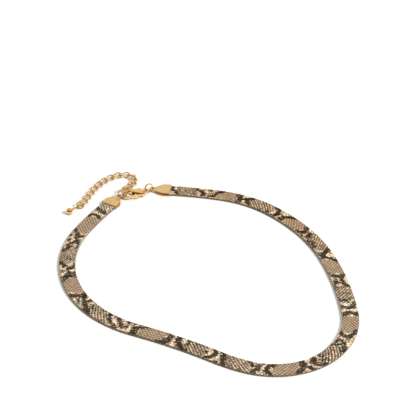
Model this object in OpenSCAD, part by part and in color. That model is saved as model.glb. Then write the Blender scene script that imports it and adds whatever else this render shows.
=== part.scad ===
// Necklace of one flat snake-chain band with a python print, brushed end caps,
// jump rings, a lobster clasp and a curb-chain extender that ends in a ball drop.
// Lengths in millimetres, angles in degrees. It lies flat on z = 0, +Z up.

/* [Band] */
// Width of the flat band
band_w = 7.5; // [6.8:0.1:7.6]
// Thickness of the band
band_t = 1.4; // [1.3:0.05:1.5]
// Bevel along the band's four edges
band_bevel = 0.35; // [0.2:0.05:0.5]
// Largest turn of the band between two of its cross-sections
band_step = 4; // [3:1:6]

/* [End caps] */
// Width of an end cap at its mouth
cap_w = 8.2; // [8:0.1:8.6]
// Height of an end cap
cap_h = 1.85; // [1.8:0.05:2]
// Distance from the mouth to the eye that the jump ring passes through
cap_eye_at = 9.1; // [9.1:0.05:9.3]
// Thickness of the flat tab round the eye
tab_t = 0.5; // [0.4:0.05:0.6]
// Height of the middle of the tab above the surface
tab_z = 1.3; // [1.25:0.05:1.35]

/* [Jump rings] */
// Outside diameter of the two jump rings
ring_d = 4.6; // [4.6:0.05:4.7]
// Diameter of their wire
ring_wire = 0.7; // [0.6:0.05:0.7]
// Lean of the rings away from upright
ring_lean = 15; // [12:1:16]

/* [Clasp] */
// Distance from the clasp's eye to its nose
clasp_l = 12.5; // [12.3:0.1:12.6]
// Width of the clasp
clasp_w = 6.4; // [6.3:0.1:6.5]
// Thickness of the clasp
clasp_t = 2.6; // [2.5:0.05:2.7]
// Turn of the clasp from the X axis, as it lies
clasp_turn = 28; // [26:0.5:28]
// How far the lever is pushed in, which is 0 when the clasp is shut
lever_open = 0; // [0:1:22]

/* [Extender] */
// Diameter of the wire of a curb link
link_wire = 0.65; // [0.55:0.05:0.7]
// Distance from one link to the next
link_pitch = 4.15; // [4.1:0.05:4.2]
// Outside diameter of the round ring at the end of the extender
end_ring_d = 4.2; // [4:0.05:4.3]
// Diameter of the ball of the drop
ball_d = 3.2; // [3:0.1:3.3]

/* [Hidden] */
$fn = 48;
overlap = 0.01;

// The runs of the band from the left cap round to the right cap.
// Columns: radius of the centre line, turn (left is positive)
RUNS = [
    [220, 6],
    [61, 49.5],
    [56, 41],
    [250, -9],
    [70, 11],
    [31.5, 72],
    [41, 42.5],
    [180, 13.5],
    [92, 30],
    [55, 29],
    [150, 9.5],
];
// Middle of the whole piece in the plan that the places are taken from
centre_x = -1.549;
centre_y = -37.176;
// Where the band leaves the left cap, as x, y and heading
BAND_START = [-48.17 - centre_x, 12.61 - centre_y, -120.5];

// The links of the extender, from the left jump ring to the end ring.
// Columns: heading on the surface, slope, how slack it lies
LINKS = [
    [100, -4, 0.55],
    [75, -33, 0.55],
    [59, -1.5, 0.55],
    [64, 0, 0.25],
    [94, 0, 0],
    [138, 0, 0],
    [180, 0, 0],
    [208, 0, 0],
    [224, 0, 0],
    [234, 0, 0],
    [241, 0, 0],
    [247, 0, 0],
    [250, 0, 0],
    [252, 0, 0],
    [252, 0, 0],
];

// Tongue of the band inside an end cap
tongue_l = 3.6;
tongue_w = 5.9;
tongue_t = 0.7;
tongue_z = 0.82;
mouth_gap = 0.1;
play = 0.12;

// End cap: from where to where its sides, its top and its underside run in to the neck
SHOULDER = [3.3, 9];
TOP = [4.3, 7.8];
UNDERSIDE = [4.9, 7.8];
cap_steps = 8;
neck_w = 2.9;
tab_r = 1.45;
tab_hole_r = 0.9;

// Clasp, in its own plan: the eye at the origin, the nose along +X, the gate on the +Y side
clasp_eye_r = 1.6;
clasp_eye_hole_r = 0.95;
clasp_eye_z = 1.35;
clasp_eye_t = 0.65;
clasp_rim = 1.15;
nose_rim = 1;
nose_low = 1.2;
nose_high = 2.1;
hook_x = 10.7;
cheek = 0.6;
lever_gap = 0.1;
pin = [3.2, 0.2];
pin_r = 0.4;
pin_play = 0.06;
gate_r = 3.75;
cheek_r = 2.2;
boss_r = 1.1;
// Both ends of the slanted edge where the plate stops at the opening
plate_edge = [[7.9, -1.9], [5, 1.9]];
// The lever's outline about its pin. Columns: angle, radius
LEVER = [
    [125, boss_r],
    [118, 2.3],
    [112, 3.3],
    [98, 3.35],
    [90, 2.8],
    [76, 2.75],
    [62, 2.95],
    [52, 3.3],
    [42, 3.6],
    [33, 3.6],
    [28, 3.52],
    [25.5, 3.5],
    [23, 3.92],
    [14, 3.92],
    [9, 3.4],
    [2, 2.4],
    [-10, 1.6],
    [-30, boss_r],
];
// The slot that the lever swings in, about the same pin
SLOT = [
    [128, 4.9],
    [62, 4.9],
    [58, 3.6],
    [26, 3.6],
    [22, 4.1],
    [-15, 4.1],
    [-30, 2.8],
    [-45, 2],
    [-60, 1.4],
];

// Curb link: half its length and half its width on the wire's centre line, and the twist of its ends
link_a = 2.72;
link_b = 1.65;
link_twist = 50;
link_steps = 16;
link_sides = 6;

// Ends of the extender
end_ring_wire = 0.7;
end_ring_roll = 27;
end_ring_z = 1.16;
end_ring_heading = 228;
end_ring_grip = 0.42;
drop_heading = 232.5;
drop_loop_d = 2;
drop_wire = 0.45;
drop_l = 6;
// The drop's neck. Columns: distance from the middle of the loop, radius
DROP_NECK = [
    [0.85, 0.4],
    [4.8, 0.68],
];

// The state, as x, y and heading, after a run of the given radius and turn
function after(s, radius, turn) =
    let (r = radius * sign(turn))
    [s[0] + r * (sin(s[2] + turn) - sin(s[2])), s[1] - r * (cos(s[2] + turn) - cos(s[2])), s[2] + turn];
function run_start(i) = i == 0 ? BAND_START : after(run_start(i - 1), RUNS[i - 1][0], RUNS[i - 1][1]);
function ahead(s, d) = [s[0] + d * cos(s[2]), s[1] + d * sin(s[2]), s[2]];
function xy(s) = [s[0], s[1]];
BAND_END = run_start(len(RUNS));

// Mouth of each cap, as x, y and the heading from the mouth to the eye
LEFT_CAP = [BAND_START[0], BAND_START[1], BAND_START[2] + 180];
RIGHT_CAP = BAND_END;
left_eye = xy(ahead(LEFT_CAP, cap_eye_at));
right_eye = xy(ahead(RIGHT_CAP, cap_eye_at));

// A jump ring leans back. It crosses a height z at this distance along it from its middle
ring_r = (ring_d - ring_wire) / 2;
ring_z = ring_r * cos(ring_lean) + ring_wire / 2;
function up_ring(z) = (z - ring_z) / cos(ring_lean);
function reach(z) = sqrt(ring_r * ring_r - up_ring(z) * up_ring(z));
function lean_at(z) = up_ring(z) * sin(ring_lean);
hook_z = (nose_low + nose_high) / 2;
right_span = reach(tab_z) + reach(clasp_eye_z);
left_span = reach(tab_z) + reach(hook_z);
// From the right eye to the left eye, less the clasp, is what the two rings bridge
clasp_turned = 180 + clasp_turn;
clasp_way = [cos(clasp_turned), sin(clasp_turned)];
bridge = left_eye - right_eye - hook_x * clasp_way;
bridge_l = norm(bridge);
right_share = (bridge_l * bridge_l + right_span * right_span - left_span * left_span) / (2 * bridge_l * right_span);
right_ring_turn = atan2(bridge[1], bridge[0]) + acos(min(1, right_share));
right_way = [cos(right_ring_turn), sin(right_ring_turn)];
right_back = [sin(right_ring_turn), -cos(right_ring_turn)];
clasp_eye = right_eye + right_span * right_way;
hook_point = clasp_eye + hook_x * clasp_way;
left_way = (hook_point - left_eye) / left_span;
left_back = [-left_way[1], left_way[0]];
right_ring = right_eye + reach(tab_z) * right_way - lean_at(tab_z) * right_back;
left_ring = left_eye + reach(tab_z) * left_way - lean_at(tab_z) * left_back;

// The extender starts round the left ring's wire, above the hook
first_z = 3.31;
first_lead = 0.1;
first_point = left_ring + reach(first_z) * left_way + lean_at(first_z) * left_back;
function slope_way(row) = [cos(row[0]) * cos(row[1]), sin(row[0]) * cos(row[1]), sin(row[1])];
function joint(i) =
    i == 0
    ? concat(first_point, first_z) - first_lead * slope_way(LINKS[0])
    : joint(i - 1) + (link_pitch - LINKS[i - 1][2]) * slope_way(LINKS[i - 1]);
link_count = len(LINKS);
function link_name(i) = str("extender_link_", i < 10 ? "0" : "", i);
chain_end = joint(link_count);
end_ring_r = (end_ring_d - end_ring_wire) / 2;
end_grip = chain_end - end_ring_grip * slope_way(LINKS[link_count - 1]);
end_ring = [
    end_grip[0] + end_ring_r * cos(end_ring_heading),
    end_grip[1] + end_ring_r * sin(end_ring_heading),
    end_ring_z,
];
// The drop's loop is round the end ring's wire, and its ball rests on the surface
drop_turn = drop_heading - end_ring_heading;
drop_place = end_ring + end_ring_r * [
    cos(end_ring_heading) * cos(drop_turn) - sin(end_ring_heading) * sin(drop_turn) * cos(end_ring_roll),
    sin(end_ring_heading) * cos(drop_turn) + cos(end_ring_heading) * sin(drop_turn) * cos(end_ring_roll),
    -sin(drop_turn) * sin(end_ring_roll),
];
drop_lift = asin((ball_d / 2 - drop_place[2]) / drop_l);

gold = "goldenrod";

// The band's cross-section at a state: eight corners of a bevelled bar, across and up
function bar(s, w, t, z) =
    let (b = min(band_bevel, t / 3))
    [for (p = [
        [w / 2 - b, -t / 2], [-w / 2 + b, -t / 2], [-w / 2, -t / 2 + b], [-w / 2, t / 2 - b],
        [-w / 2 + b, t / 2], [w / 2 - b, t / 2], [w / 2, t / 2 - b], [w / 2, -t / 2 + b],
    ]) [s[0] + p[0] * sin(s[2]), s[1] - p[0] * cos(s[2]), z + p[1]]];

// Every state along the band, closer together where it turns more
function band_states() = [
    for (i = [0:len(RUNS) - 1])
    let (s = run_start(i), n = max(2, ceil(abs(RUNS[i][1]) / band_step)))
    for (j = [0:n - 1]) if (i + j > 0) after(s, RUNS[i][0], RUNS[i][1] * j / n),
];

// Skin over a list of loops of equal length. An open skin gets a lid at both ends
module skin(loops, closed = false) {
    m = len(loops[0]);
    n = len(loops);
    sides = [
        for (i = [0:n - (closed ? 1 : 2)], j = [0:m - 1])
        let (k = (i + 1) % n, l = (j + 1) % m)
        each [[i * m + j, k * m + j, k * m + l], [i * m + j, k * m + l, i * m + l]]
    ];
    lids = closed ? [] : [[for (j = [0:m - 1]) j], [for (j = [m - 1:-1:0]) (n - 1) * m + j]];
    polyhedron(points = [for (l = loops, p = l) p], faces = concat(sides, lids), convexity = 10);
}

module band() {
    tongue = [tongue_w, tongue_t, tongue_z];
    full = [band_w, band_t, band_t / 2];
    first = ahead(BAND_START, mouth_gap);
    last = ahead(BAND_END, -mouth_gap);
    color("tan")
    skin(concat(
        [for (d = [-tongue_l, 0]) bar(ahead(first, d), tongue[0], tongue[1], tongue[2])],
        [bar(first, full[0], full[1], full[2])],
        [for (s = band_states()) bar(s, full[0], full[1], full[2])],
        [bar(last, full[0], full[1], full[2])],
        [for (d = [0, tongue_l]) bar(ahead(last, d), tongue[0], tongue[1], tongue[2])]
    ));
}

module at_state(s) {
    translate([s[0], s[1], 0]) rotate([0, 0, s[2]]) children();
}

// A smooth step from a to b while x passes from one end of a span to the other
function ease(x, span, a, b) =
    let (t = min(1, max(0, (x - span[0]) / (span[1] - span[0]))))
    a + (b - a) * (1 - cos(180 * t)) / 2;
function stations(span) = [for (i = [0:cap_steps]) span[0] + i * (span[1] - span[0]) / cap_steps];
function backward(rows) = [for (i = [len(rows) - 1:-1:0]) rows[i]];

// An end cap with its mouth at the origin and its eye along +X
module end_cap() {
    half = cap_w / 2;
    tab_low = tab_z - tab_t / 2;
    tab_high = tab_z + tab_t / 2;
    side = concat(
        [[0, half]],
        [for (x = stations(SHOULDER)) [x, ease(x, SHOULDER, half, neck_w / 2)]],
        [[cap_eye_at, neck_w / 2]]
    );
    outline = concat(side, [for (p = backward(side)) [p[0], -p[1]]]);
    profile = concat(
        [[0, 0]],
        [for (x = stations(UNDERSIDE)) [x, ease(x, UNDERSIDE, 0, tab_low)]],
        [[cap_eye_at, tab_low], [cap_eye_at, tab_high]],
        [for (x = backward(stations(TOP))) [x, ease(x, TOP, cap_h, tab_high)]],
        [[0, cap_h]]
    );
    difference() {
        union() {
            intersection() {
                linear_extrude(cap_h) polygon(outline);
                rotate([90, 0, 0]) translate([0, 0, -cap_w]) linear_extrude(2 * cap_w) polygon(profile);
            }
            translate([cap_eye_at, 0, tab_low]) cylinder(r = tab_r, h = tab_t);
        }
        translate([cap_eye_at, 0, 0]) cylinder(r = tab_hole_r, h = cap_h);
        translate([-overlap, -tongue_w / 2 - play, tongue_z - tongue_t / 2 - play])
            cube([tongue_l + play, tongue_w + 2 * play, tongue_t + 2 * play]);
    }
}

module cap_left() {
    color(gold) at_state(LEFT_CAP) end_cap();
}

module cap_right() {
    color(gold) at_state(RIGHT_CAP) end_cap();
}

module ring(d, wire) {
    rotate_extrude() translate([(d - wire) / 2, 0]) circle(d = wire);
}

// A ring that stands on the surface with its plane along a turn and leans away from the front
module standing_ring(place, turn) {
    translate([place[0], place[1], ring_z])
    rotate([0, 0, turn]) rotate([90 - ring_lean, 0, 0])
        ring(ring_d, ring_wire);
}

module ring_left() {
    color(gold) standing_ring(left_ring, atan2(left_way[1], left_way[0]));
}

module ring_right() {
    color(gold) standing_ring(right_ring, right_ring_turn + 180);
}

// Half width of the clasp's egg-shaped outline at a share s of its length
function egg(s, w) = w / 2 * pow(4 * s * (1 - s), 0.42) * (1 + 0.16 * (2 * s - 1));
egg_steps = 18;
egg_start = 0.2;
function egg_outline(x0, x1, w) = concat(
    [for (i = [0:egg_steps]) let (s = (1 - cos(180 * i / egg_steps)) / 2) [x0 + s * (x1 - x0), egg(s, w)]],
    [for (i = [egg_steps - 1:-1:1]) let (s = (1 - cos(180 * i / egg_steps)) / 2) [x0 + s * (x1 - x0), -egg(s, w)]]
);
function about_pin(rows) = [for (r = rows) pin + r[1] * [cos(r[0]), sin(r[0])]];

module at_clasp() {
    translate([clasp_eye[0], clasp_eye[1], 0]) rotate([0, 0, clasp_turned]) children();
}

// The space inside the hook, up to the slanted edge of the plate
module clasp_opening() {
    inner_w = clasp_w - 2 * clasp_rim;
    far = clasp_l + 1;
    linear_extrude(clasp_t + 2, center = true)
    intersection() {
        polygon(egg_outline(egg_start + clasp_rim, clasp_l - nose_rim, inner_w));
        polygon([plate_edge[0], [far, -clasp_w], [far, clasp_w], [plate_edge[1][0], clasp_w], plate_edge[1]]);
    }
}

// What is cut from the cheeks so that the lever's outer edge shows, up to the tip of the hook
function gate_cut() = concat(
    [for (a = [24:7:59]) pin + gate_r * [cos(a), sin(a)]],
    about_pin([[60, 5], [95, 5], [128, 5]]),
    [for (a = [128:-13:24]) pin + cheek_r * [cos(a), sin(a)]]
);

module clasp_body() {
    eye_low = clasp_eye_z - clasp_eye_t / 2;
    eye_high = clasp_eye_z + clasp_eye_t / 2;
    profile = [
        [-clasp_eye_r, eye_low], [0.9, eye_low], [2.2, 0], [6.6, 0], [9, nose_low], [clasp_l, nose_low],
        [clasp_l, nose_high], [8.4, nose_high], [6.4, clasp_t], [2.4, clasp_t], [0.9, eye_high],
        [-clasp_eye_r, eye_high],
    ];
    color(gold)
    at_clasp() {
        difference() {
            intersection() {
                linear_extrude(clasp_t)
                union() {
                    polygon(egg_outline(egg_start, clasp_l, clasp_w));
                    circle(r = clasp_eye_r);
                }
                rotate([90, 0, 0]) translate([0, 0, -clasp_w]) linear_extrude(2 * clasp_w) polygon(profile);
            }
            translate([0, 0, -overlap]) cylinder(r = clasp_eye_hole_r, h = clasp_t + 2 * overlap);
            translate([0, 0, clasp_t / 2]) clasp_opening();
            translate([0, 0, cheek]) linear_extrude(clasp_t - 2 * cheek) polygon(concat([pin], about_pin(SLOT)));
            translate([pin[0], pin[1], cheek]) cylinder(r = boss_r + 0.2, h = clasp_t - 2 * cheek);
            translate([0, 0, -overlap]) linear_extrude(clasp_t + 2 * overlap) polygon(gate_cut());
        }
        translate([pin[0], pin[1], cheek / 2]) cylinder(r = pin_r, h = clasp_t - cheek);
    }
}

module clasp_lever() {
    color(gold)
    at_clasp()
    translate([pin[0], pin[1], 0]) rotate([0, 0, -lever_open]) translate([-pin[0], -pin[1], 0])
    difference() {
        translate([0, 0, cheek + lever_gap])
        linear_extrude(clasp_t - 2 * cheek - 2 * lever_gap)
            polygon(concat(about_pin(LEVER), [for (a = [-45:-15:-225]) pin + boss_r * [cos(a), sin(a)]]));
        translate([pin[0], pin[1], 0]) cylinder(r = pin_r + pin_play, h = clasp_t);
    }
}

// A point of a curb link's centre line: an oval along X whose ends are twisted about X
function link_point(t) =
    let (f = link_twist * cos(t), y = link_b * sin(t))
    [link_a * cos(t), y * cos(f), y * sin(f)];

// One loop of the wire's surface round that point
function link_loop(t) =
    let (
        c = link_point(t),
        d = link_point(t + 1) - link_point(t - 1),
        along = d / norm(d),
        f = link_twist * cos(t),
        side = cross(along, [0, -sin(f), cos(f)]),
        out = side / norm(side),
        up = cross(out, along)
    )
    [for (i = [0:link_sides - 1])
        let (a = 360 * i / link_sides)
        c + link_wire / 2 * (cos(a) * out + sin(a) * up)];

module extender_link(i) {
    row = LINKS[i - 1];
    color(gold)
    translate((joint(i - 1) + joint(i)) / 2)
    rotate([0, -row[1], row[0]])
    skin([for (k = [0:link_steps - 1]) link_loop(-360 * k / link_steps)], closed = true);
}

module end_ring() {
    color(gold)
    translate(end_ring) rotate([-end_ring_roll, 0, end_ring_heading]) ring(end_ring_d, end_ring_wire);
}

// The drop: a loop, a neck that widens and a ball, soldered together
module drop() {
    color(gold)
    translate(drop_place)
    rotate([0, -drop_lift, drop_heading])
    union() {
        rotate([90, 0, 0]) ring(drop_loop_d, drop_wire);
        translate([DROP_NECK[0][0], 0, 0])
        rotate([0, 90, 0])
            cylinder(r1 = DROP_NECK[0][1], r2 = DROP_NECK[1][1], h = DROP_NECK[1][0] - DROP_NECK[0][0]);
        translate([drop_l, 0, 0]) sphere(d = ball_d);
    }
}

band();
cap_left();
cap_right();
ring_left();
ring_right();
clasp_body();
clasp_lever();
for (i = [1:link_count])
    extender_link(i);
end_ring();
drop();
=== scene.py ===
"""Flat snake-chain necklace with a python print, laid in a loop.

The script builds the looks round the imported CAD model. Tables and named sizes are in
millimetres and degrees, in the CAD model's frame. Meshes are made in metres.
"""

import math

import bpy
import numpy as np
from mathutils import Matrix, Vector


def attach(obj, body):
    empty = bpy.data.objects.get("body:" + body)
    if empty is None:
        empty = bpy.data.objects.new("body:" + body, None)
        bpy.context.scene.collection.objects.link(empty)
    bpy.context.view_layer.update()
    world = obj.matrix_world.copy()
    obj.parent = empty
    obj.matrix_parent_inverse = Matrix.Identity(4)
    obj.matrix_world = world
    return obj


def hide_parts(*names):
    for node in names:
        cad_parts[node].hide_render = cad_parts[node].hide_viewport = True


MM = 0.001

# The band, with the CAD model's sizes
BAND_WIDTH = 7.5
BAND_THICKNESS = 1.4
BAND_CORNER = 0.42
BAND_START = (-46.621, 49.786, -120.5)
# Gap between the band's end and the cap's mouth
BAND_GAP = 0.08
# Length, width, thickness and middle height of the band's tongue, and how far it starts inside
TONGUE = (3.5, 5.9, 0.7, 0.82)
TONGUE_OVERLAP = 0.2
# Columns: radius of the centre line, turn (left is positive)
RUNS = [
    (220, 6),
    (61, 49.5),
    (56, 41),
    (250, -9),
    (70, 11),
    (31.5, 72),
    (41, 42.5),
    (180, 13.5),
    (92, 30),
    (55, 29),
    (150, 9.5),
]
BAND_LENGTH = sum(radius * abs(math.radians(turn)) for radius, turn in RUNS)

# The scales of the band lie in a diamond lattice and are tipped up a little towards one end
SCALE_LENGTH = 1.82
SCALE_WIDTH = 1.7
SCALE_RELIEF = 0.15
SCALE_TIP = 0.28
# The relief fades out over this length at both ends
END_FADE = 0.5
# Steps of the band's mesh: along, and over each part of its cross-section
STEP_ALONG = 0.24
TOP_STEPS = 30
SIDE_STEPS = 4
CORNER_STEPS = 3
UNDER_STEPS = 12

# The print, in millimetres along the band from the left cap and across it from the centre
# line, where the inside of the loop is positive.
# Tan saddles. Columns: where one starts at the inner edge, in the middle and at the outer
# edge, then where it ends at the same three
EDGE_AT = 3.4
SADDLES = [
    (13.6, 12.0, 13.8, 28.2, 27.4, 24.0),
    (65.2, 64.7, 66.9, 78.7, 77.0, 74.2),
    (119.5, 117.4, 117.3, 129.0, 129.5, 128.0),
    (181.0, 178.8, 179.8, 191.3, 190.6, 188.4),
    (225.0, 222.7, 226.4, 235.2, 236.0, 235.7),
    (269.6, 267.4, 267.7, 280.3, 279.0, 276.2),
    (308.1, 306.2, 307.8, 318.0, 318.8, 315.4),
    (348.8, 348.1, 349.7, 359.3, 358.3, 355.3),
]
# Zones of small dark flecks between the saddles. Columns: start, end, strength,
# and the way the flecks run: 1 outwards and on, -1 inwards and on, 0 both
SPECKLES = [
    (0, 9, 0.9, 1),
    (41, 53, 0.87, 0),
    (87, 102, 1.0, -1),
    (138, 149, 1.0, -1),
    (159, 171, 0.95, -1),
    (200, 214, 1.0, 1),
    (245, 259, 0.95, -1),
    (286, 301, 0.95, -1),
    (326, 342, 1.0, -1),
    (368, 379, 0.95, -1),
]
# Strokes. Columns: along and across at one end, along and across at the other end, width
TAN_STROKES = [
    (38.2, 1.6, 41.2, 1.9, 2.6), (43.8, -2.4, 49.2, -2.0, 2.2), (146.0, 2.4, 148.3, -2.2, 2.6),
    (160.2, 2.2, 162.0, -2.4, 3.0), (287.4, -0.6, 290.2, -1.6, 1.6),
    (370.0, 2.6, 371.0, -2.4, 1.6),
]
CREAM_STROKES = [
    (8.8, 3.0, 8.6, 2.2, 1.4), (8.9, -0.6, 8.4, -2.4, 1.4), (4.0, 2.8, 2.4, 0.2, 0.8),
    (31.1, 3.3, 32.1, 2.0, 1.3), (36.4, 2.6, 37.6, 1.2, 1.0), (33.4, -0.4, 31.6, -1.9, 1.2),
    (36.2, -2.6, 36.8, -3.3, 0.9), (53.2, 2.9, 54.0, 0.9, 1.4), (59.2, 2.9, 59.2, 1.6, 1.3),
    (57.4, -1.4, 55.8, -2.9, 1.2), (60.2, -1.2, 61.2, -3.0, 1.0), (83.6, 3.2, 83.7, 1.3, 1.5),
    (84.4, -0.6, 81.4, -0.9, 1.0), (80.4, -2.6, 85.4, -3.2, 1.0), (88.0, 2.6, 88.3, 0.6, 1.0),
    (102.3, 1.9, 105.2, -1.0, 1.8), (108.8, 3.1, 110.4, 1.2, 1.1), (114.8, 2.3, 112.2, 0.1, 0.9),
    (112.6, -1.1, 113.0, -2.8, 1.3), (108.8, -2.9, 110.2, -3.3, 1.0),
    (133.1, 3.1, 133.4, -0.2, 1.4), (137.4, 3.0, 138.2, 0.9, 1.5),
    (133.2, -2.0, 134.8, -3.4, 1.0), (150.2, 2.0, 151.6, -0.8, 1.3),
    (155.0, 2.5, 155.9, -1.4, 1.8), (154.3, -2.6, 153.6, -3.5, 1.2),
    (170.4, 2.8, 172.0, 3.3, 1.0), (170.2, 0.0, 171.0, -1.6, 1.2),
    (175.2, 1.2, 174.8, -0.6, 1.1), (175.8, -2.0, 174.6, -3.4, 1.7),
    (195.9, 3.3, 194.9, 0.2, 1.6), (201.5, 3.2, 199.0, -0.4, 1.1),
    (191.4, -3.2, 192.4, -3.6, 1.0), (213.2, -1.0, 216.4, 1.0, 1.0),
    (215.6, -2.9, 220.8, -2.6, 1.2), (221.2, -3.2, 223.0, -3.4, 0.9),
    (219.0, 1.0, 220.0, -0.4, 0.8), (239.6, 2.6, 239.6, -2.8, 1.6),
    (244.9, 3.0, 244.0, 0.4, 1.5), (245.4, -1.4, 247.0, -2.6, 1.2),
    (263.9, 1.4, 262.4, -0.1, 1.4), (264.4, 3.0, 263.6, 2.4, 0.8),
    (260.0, -2.5, 263.4, -3.1, 1.3), (282.9, 3.0, 282.9, 2.4, 0.9),
    (281.6, -1.0, 284.2, -1.7, 1.2), (280.6, -3.1, 283.0, -2.7, 1.0),
    (288.2, 2.9, 286.3, 0.8, 1.6), (298.4, 3.2, 299.2, 2.4, 0.9), (302.4, 1.4, 302.2, 0.0, 1.2),
    (302.6, -1.4, 304.4, -3.2, 1.1), (322.7, 3.0, 322.9, 0.9, 1.6),
    (321.0, -1.4, 323.0, -3.5, 1.2), (327.2, 2.3, 326.2, -0.6, 1.1),
    (344.0, 3.2, 344.3, 1.6, 1.5), (345.4, -1.4, 344.4, -3.2, 1.3),
    (363.4, 3.1, 363.7, 2.2, 1.1), (364.3, 0.4, 363.8, -0.8, 1.3),
    (366.4, -3.0, 364.2, -2.8, 0.9), (367.3, 3.1, 368.4, 0.2, 1.3),
    (380.1, 3.2, 380.6, 1.8, 1.2), (379.6, -1.0, 378.8, -3.0, 1.2),
]
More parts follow.
